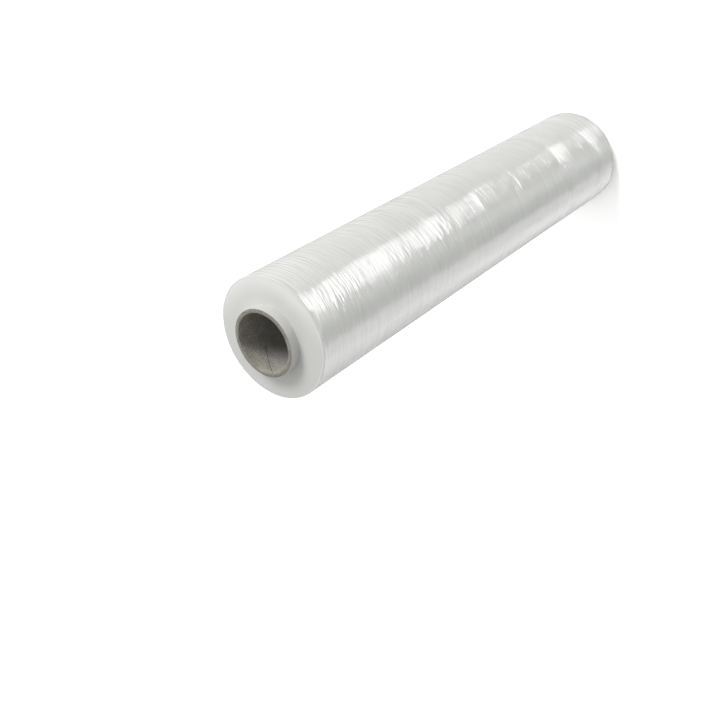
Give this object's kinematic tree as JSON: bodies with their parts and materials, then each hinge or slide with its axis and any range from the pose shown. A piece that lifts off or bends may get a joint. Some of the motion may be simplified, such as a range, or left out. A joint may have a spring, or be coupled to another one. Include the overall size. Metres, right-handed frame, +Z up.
{
  "type": "stretch wrap roll",
  "caption": "Clear stretch film wound on a hollow board core that stands out at both ends, with an open bore for a dispenser's mandrel.",
  "frame": {"origin": "middle of the core's lower end, on the surface that the roll stands on", "axes": "+Z up along the core; +Y is the side that faces up in the picture"},
  "size_m": [0.102, 0.1018, 0.518],
  "materials": {
    "core_board": "matt recycled board with a paler outer ply",
    "stretch_film": "milky, glossy wound film"
  },
  "bodies": {
    "root": {"core_tube": "core_board", "film_roll": "stretch_film"}
  },
  "joints": []
}
